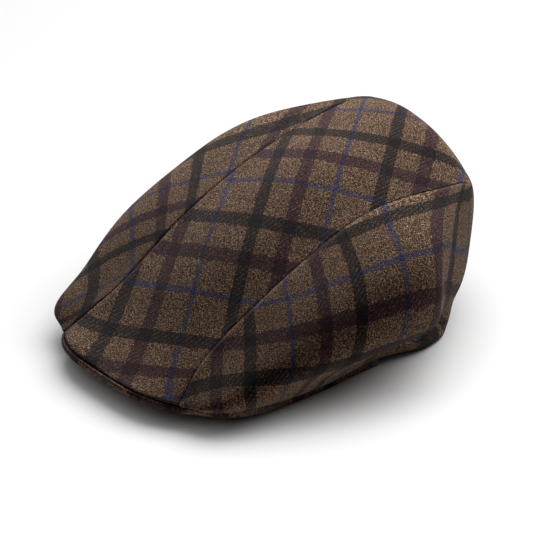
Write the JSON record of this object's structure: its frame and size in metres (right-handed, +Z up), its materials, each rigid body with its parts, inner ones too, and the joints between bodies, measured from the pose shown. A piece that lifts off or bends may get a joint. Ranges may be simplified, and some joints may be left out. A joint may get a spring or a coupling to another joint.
{
  "type": "flat cap",
  "caption": "Soft tweed flat cap with a full rounded crown and a short stiff peak, in a brown plaid check.",
  "frame": {"origin": "centre of the outline seen from above, on the surface that the cap rests on", "axes": "+Z up, the peak points to -Y, the wearer's left side is at +X"},
  "size_m": [0.2282, 0.2628, 0.1163],
  "materials": {
    "tweed_top": "rough brown plaid tweed",
    "tweed_left": "rough brown plaid tweed",
    "tweed_right": "rough brown plaid tweed",
    "tweed_peak": "rough brown plaid tweed"
  },
  "bodies": {
    "root": {"crown_top": "tweed_top", "side_left": "tweed_left", "side_right": "tweed_right", "peak": "tweed_peak"}
  },
  "joints": []
}
